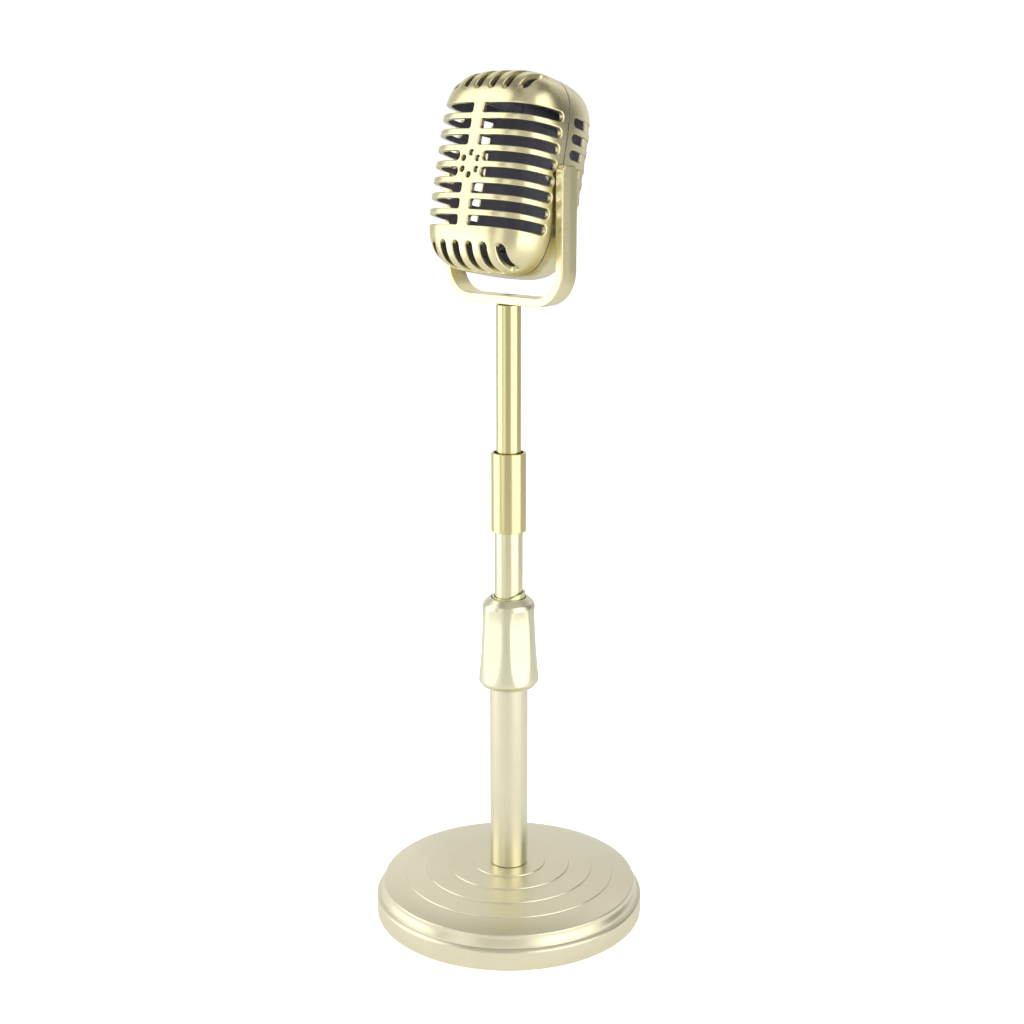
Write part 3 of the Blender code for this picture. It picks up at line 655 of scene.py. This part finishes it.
def collet_field(points):
    """Split ring: a flange inside the nut, and a neck whose rim slopes up to a lip."""
    x, y, z = points.T
    low, flange = COLLET
    ring = np.hypot(x, y)
    towards_lip = x * math.cos(COLLET_LIP_ANGLE) + y * math.sin(COLLET_LIP_ANGLE)
    rim = COLLET_LOW_TOP + COLLET_SLOPE * np.maximum(towards_lip, 0)
    neck = meet(ring - COLLET_NECK_R, z - rim, 0.25)
    base = meet(ring - flange, z - COLLET_FLANGE_TOP, 0.25)
    body = np.maximum(np.minimum(neck, base), low - z)
    body = meet(body, COLLET_BORE - ring, 0.2)
    split = np.maximum(np.abs(x) - COLLET_SLOT / 2, -y)
    return meet(body, -split, 0.2)


# ---------------------------------------------------------------- pieces

def mm_box(node):
    low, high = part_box(node)
    return [value / MM for value in low], [value / MM for value in high]


def head_place():
    """The head's frame: on the pivot, leaning by the line through its two shell screws."""
    top = [sum(pair) / 2 for pair in zip(*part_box("shell_screw_top"))]
    bottom = [sum(pair) / 2 for pair in zip(*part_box("shell_screw_bottom"))]
    lean = math.atan2(top[1] - bottom[1], top[2] - bottom[2])
    joint = next(joint for joint in frame["joints"] if joint["name"] == "head_tilt")
    return Matrix.Translation(Vector(joint["pos_m"])) @ Matrix.Rotation(-lean, 4, "X")


def node_points(node, place):
    """A CAD node's points in mm, in another frame."""
    back = place.inverted()
    return np.array([back @ vertex.co for vertex in frame["nodes"][node].data.vertices]) / MM


def head_sizes(place):
    front = node_points("front_shell", place)
    rear = node_points("rear_shell", place)
    return {
        "half": front[:, 0].max(),
        "height": front[:, 2].max(),
        "front_depth": -front[:, 1].min() - SEAM_GAP / 2,
        "rear_depth": rear[:, 1].max() - SEAM_GAP / 2,
    }


def blacken_inside_and_seam_shade(mesh, points, faces, outside, paint, lip):
    """Blacken the faces deeper than the paint reaches, which are the bare plastic inside, and, as
    painted shade for the seam's shadow gap, those within lip of the seam.
    """
    mesh.materials.append(LOOKS["inside"])
    middle = points[faces].mean(axis=1)
    depth = -outside(middle)
    # Faces deeper than the paint are the plastic's own black; faces within lip of the seam are painted
    # shade
    inside_or_seam_shade = (depth > paint) | (np.abs(middle[:, 1]) < SEAM_GAP / 2 + lip)
    mesh.polygons.foreach_set("material_index", inside_or_seam_shade.astype(np.int32))


def head_shell(node, field, outside, span, place, paint, lip):
    points, faces, normals = carved(field, *span, SHELL_CELL)
    mesh = mesh_of(node, points, faces, normals, place)
    add_piece(f"{node}_skin", mesh, "head", "head", node)
    # The inside gets the bare black plastic, and the faces beside the seam get painted shade
    blacken_inside_and_seam_shade(mesh, points, faces, outside, paint, lip)


def head():
    place = head_place()
    HEAD.update(head_sizes(place))
    half, height = HEAD["half"], HEAD["height"]
    span = (-half, -HEAD["front_depth"] - SEAM_GAP, -height), (half, 0, height)
    head_shell("front_shell", front_field, front_outside, span, place, FRONT_PAINT, FRONT_SEAM_SHADE)
    span = (-half, 0, -height), (half, HEAD["rear_depth"] + SEAM_GAP, height)
    head_shell("rear_shell", rear_field, rear_outside, span, place, REAR_PAINT, REAR_SEAM_SHADE)


def yoke():
    low, high = mm_box("yoke")
    YOKE.update(half=high[0], bottom=low[2], pivot=high[2] - YOKE_W / 2)
    points, faces, normals = carved(yoke_field, low, high, YOKE_CELL)
    mesh = mesh_of("yoke_bar", points, faces, normals, Matrix())
    add_piece("yoke_bar", mesh, "yoke", "fork", "yoke")


def collet():
    low, high = mm_box("collet")
    COLLET[:] = [low[2], high[0]]
    points, faces, normals = carved(collet_field, low, high, COLLET_CELL)
    mesh = mesh_of("collet_ring", points, faces, normals, Matrix())
    add_piece("collet_ring", mesh, "pale", "stand", "collet")


def dome_height(radius, top, edge):
    return top - (top - edge) * (radius / PLATE_R) ** DOME_POWER


def cover_corners(low, high):
    """Section of the foot's cover: a stepped dome, a flared rim, and a wall with a soft edge."""
    outer_r, top, bottom = high[0], high[2], low[2]
    edge = top - DOME_RISE
    corners = [(COVER_HOLE_R, top, 0.2)]
    for radius in STEP_RADII:
        height = dome_height(radius, top, edge)
        corners.append((radius, height + STEP_H / 2, 0.14))
        corners.append((radius + 0.2, height - STEP_H / 2, 0.1))
    for radius in (52.0, 55.5):
        corners.append((radius, dome_height(radius, top, edge), 0))
    corners += [
        (PLATE_R, edge + 0.05, 0.5),
        (PLATE_R + 0.35, edge - 1.8, 0.6),
        (PLATE_R + 1.5, edge - 4.2, 0.7),
        (PLATE_R + 1.75, edge - 5.35, 0.15),
        (PLATE_R + 2.3, edge - 5.6, 0.12),
        (outer_r, edge - 6.5, 0.65),
        (outer_r, bottom, 0.3),
        (outer_r - COVER_WALL, bottom, 0.3),
        (outer_r - COVER_WALL, edge - 7.0, 0.6),
    ]
    for radius in (PLATE_R - 2.6, 48.0, 35.0, 22.0, HUB_R):
        corners.append((radius, dome_height(radius, top, edge) - COVER_WALL, 0))
    return corners + [(HUB_R, HUB_Z, 0), (COVER_HOLE_R, HUB_Z, 0)]


def tube_corners(low, high, wall, edge):
    """Section of a plain tube with rounded ends."""
    outer, top, bottom = high[0], high[2], low[2]
    bore = outer - wall
    return [(outer, top, edge), (outer, bottom, edge), (bore, bottom, edge / 2), (bore, top, edge / 2)]


def nut_shape(low, high):
    """How the nut's side bends in: six flats, each deepest in the middle of the nut's length."""
    start, end = low[2] + 1.7, high[2] - 4.1
    period = 2 * math.pi / NUT_FLATS

    def bent(radius, angle, height):
        share = (height - start) / (end - start)
        if radius < 11.5 or not 0 < share < 1:
            return radius
        depth = NUT_FLAT_DEPTH * (1 - abs(2 * share - 1) ** (6.0 if share > 0.5 else 2.4))
        off = (angle - NUT_PHASE) % period - period / 2
        return min(radius, (radius - depth) / math.cos(off))

    return bent


def nut_corners(low, high):
    """Section of the nut: a stepped shoulder, a side that widens downwards, and a parted skirt."""
    bottom, top = low[2], high[2]
    widest = high[0] - 0.02
    widest_z, shoulder_z, shoulder = bottom + 3.0, top - 4.8, 12.0
    side = []
    for index in range(17):
        share = index / 16
        radius = shoulder + (widest - shoulder) * share
        side.append((radius, shoulder_z + (widest_z - shoulder_z) * share, 0))
    return (
        [(8.0, top, 0.2), (9.0, top, 0.3), (11.5, top - 2.6, 0.5), (11.95, top - 4.2, 0.4)]
        + side
        + [
            (widest - 0.25, bottom + 1.9, 0.4),
            (12.55, bottom + 0.85, 0.12),
            (12.2, bottom + 0.8, 0.06),
            (12.2, bottom + 0.62, 0.06),
            (12.4, bottom + 0.55, 0.08),
            (12.1, bottom, 0.15),
            (9.1, bottom, 0.2),
            (9.1, bottom + 1.6, 0),
            (10.95, bottom + 1.6, 0),
            (10.95, top - 6.7, 0),
            (8.0, top - 6.7, 0),
        ]
    )


def turned_piece(name, node, corners, look, body, shape=None):
    mesh = lathe(name, corners, shape=shape)
    soften(add_piece(name, mesh, look, body, node))


def turned_tube(name, node, wall, edge, look, body):
    turned_piece(name, node, tube_corners(*mm_box(node), wall, edge), look, body)


def stand():
    cover = cover_corners(*mm_box("base_cover"))
    turned_piece("foot_cover", "base_cover", cover, "stand", "stand")
    turned_tube("foot_pad", "base_pad", PAD_WIDTH, 0.35, "foam", "stand")
    turned_tube("lower_pole", "lower_tube", LOWER_WALL, 0.15, "stand", "stand")
    low, high = mm_box("lock_nut")
    shape = nut_shape(low, high)
    turned_piece("grip_nut", "lock_nut", nut_corners(low, high), "nut", "nut", shape)
    collet()


def mast():
    turned_tube("inner_pole", "inner_tube", INNER_WALL, 0.15, "pale", "mast")
    turned_tube("pole_collar", "collar", COLLAR_WALL, 0.4, "rod", "mast")
    turned_tube("upper_pole", "upper_rod", ROD_WALL, 0.2, "rod", "mast")


def finish_small_parts():
    """CAD nodes that stay: a finished material and softened edges each."""
    looks = {
        "base_weight": "iron",
        "base_bolt": "zinc",
        "base_washer": "zinc",
        "tube_foot_plug": "zinc",
        "threaded_sleeve": "nylon",
        "thrust_ring": "nylon",
        "guide_bushing": "nylon",
        "joint_plug": "zinc",
        "rod_insert": "zinc",
        "yoke_screw": "zinc",
        "pivot_screw_left": "zinc",
        "pivot_screw_right": "zinc",
        "pivot_washer_left": "zinc",
        "pivot_washer_right": "zinc",
        "shell_screw_top": "zinc",
        "shell_screw_bottom": "zinc",
    }
    for node, look in looks.items():
        part = frame["nodes"][node]
        part.material_slots[0].material = LOOKS[look]
        bevel = part.modifiers.new("Edges", "BEVEL")
        bevel.width = 0.00012
        bevel.segments = 2
        bevel.limit_method = "ANGLE"
        bevel.angle_limit = math.radians(40)


# ---------------------------------------------------------------- set

def floor():
    """Pale floor, lit from below like a light table, so that it stays white with faint shadows."""
    bpy.ops.mesh.primitive_plane_add(size=200, location=(0, 0, 0))
    plane = bpy.context.object
    plane.name = "floor"
    material, tree, shader = node_material("floor")
    tone = blend_colour(tree, noise(tree, 6.0), (0.86, 0.86, 0.86), (0.88, 0.88, 0.88))
    tree.links.new(tone, shader.inputs["Base Color"])
    shader.inputs["Roughness"].default_value = 0.85
    shader.inputs["Specular IOR Level"].default_value = 0.1
    path = tree.nodes.new("ShaderNodeLightPath")
    shader.inputs["Emission Color"].default_value = (1.0, 1.0, 1.0, 1.0)
    glow = remap(tree, path.outputs["Is Camera Ray"], FLOOR_GLOW, FLOOR_GLOW_SEEN, 0.0, 1.0)
    tree.links.new(glow, shader.inputs["Emission Strength"])
    plane.data.materials.append(material)


def softbox(azimuth, distance, width, low, high, power, aim=None):
    """A soft panel facing the object. Its azimuth is counted from the camera's, towards +X.

    It stands upright, unless it is aimed at a height on the object's axis.
    """
    angle = math.radians(CAMERA_AZIMUTH + azimuth)
    place = Vector((distance * math.sin(angle), -distance * math.cos(angle), (low + high) / 2))
    light = bpy.data.lights.new("softbox", "AREA")
    light.shape = "RECTANGLE"
    light.size = width
    light.size_y = high - low
    light.energy = power
    lamp = bpy.data.objects.new("softbox", light)
    lamp.location = place
    target = Vector((0, 0, place.z if aim is None else aim))
    lamp.rotation_euler = (target - place).to_track_quat("-Z", "Y").to_euler()
    lamp.visible_camera = False
    bpy.context.scene.collection.objects.link(lamp)


def glow_towards(tree, coords, direction, start, level):
    """Light that grows from nothing, at the cosine start, to level in the direction itself."""
    facing = tree.nodes.new("ShaderNodeVectorMath")
    facing.operation = "DOT_PRODUCT"
    facing.inputs[1].default_value = direction
    tree.links.new(coords, facing.inputs[0])
    return remap(tree, facing.outputs["Value"], 0.0, level, start, 1.0)


def world():
    """White for the camera. For everything it lights: pale before and behind the object, dim above."""
    scene_world = bpy.data.worlds.new("studio")
    scene_world.use_nodes = True
    tree = scene_world.node_tree
    angle = math.radians(CAMERA_AZIMUTH)
    behind = Vector((-math.sin(angle), math.cos(angle), 0.0))
    coords = tree.nodes.new("ShaderNodeTexCoord").outputs["Generated"]
    level = glow_towards(tree, coords, (0.0, 0.0, 1.0), 0.25, WORLD_ABOVE)
    for direction, strength in ((-behind, WORLD_BEFORE), (behind, WORLD_BEHIND)):
        total = tree.nodes.new("ShaderNodeMath")
        tree.links.new(level, total.inputs[0])
        tree.links.new(glow_towards(tree, coords, direction, 0.3, strength), total.inputs[1])
        level = total.outputs["Value"]
    light = tree.nodes["Background"]
    light.inputs["Color"].default_value = (1.0, 1.0, 1.0, 1.0)
    tree.links.new(level, light.inputs["Strength"])
    backdrop = tree.nodes.new("ShaderNodeBackground")
    backdrop.inputs["Strength"].default_value = WORLD_SEEN
    backdrop.inputs["Color"].default_value = (1.0, 1.0, 1.0, 1.0)
    path = tree.nodes.new("ShaderNodeLightPath")
    mix = tree.nodes.new("ShaderNodeMixShader")
    tree.links.new(path.outputs["Is Camera Ray"], mix.inputs["Fac"])
    tree.links.new(light.outputs["Background"], mix.inputs[1])
    tree.links.new(backdrop.outputs["Background"], mix.inputs[2])
    tree.links.new(mix.outputs["Shader"], tree.nodes["World Output"].inputs["Surface"])
    bpy.context.scene.world = scene_world


def camera():
    data = bpy.data.cameras.new("camera")
    data.lens = CAMERA_LENS
    data.clip_start = 0.01
    holder = bpy.data.objects.new("camera", data)
    azimuth = math.radians(CAMERA_AZIMUTH)
    holder.location = (
        CAMERA_DISTANCE * math.sin(azimuth),
        -CAMERA_DISTANCE * math.cos(azimuth),
        CAMERA_HEIGHT,
    )
    turn = math.radians(CAMERA_AZIMUTH + CAMERA_PAN)
    holder.rotation_euler = (math.radians(90 - CAMERA_PITCH), 0, turn)
    bpy.context.scene.collection.objects.link(holder)
    bpy.context.scene.camera = holder


def studio():
    floor()
    world()
    camera()
    for panel in SOFTBOXES:
        softbox(*panel)
    bpy.context.scene.view_settings.view_transform = "Standard"


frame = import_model()
LOOKS = make_looks()
HEAD = {}
YOKE = {}
COLLET = []
stand()
mast()
yoke()
head()
finish_small_parts()
studio()
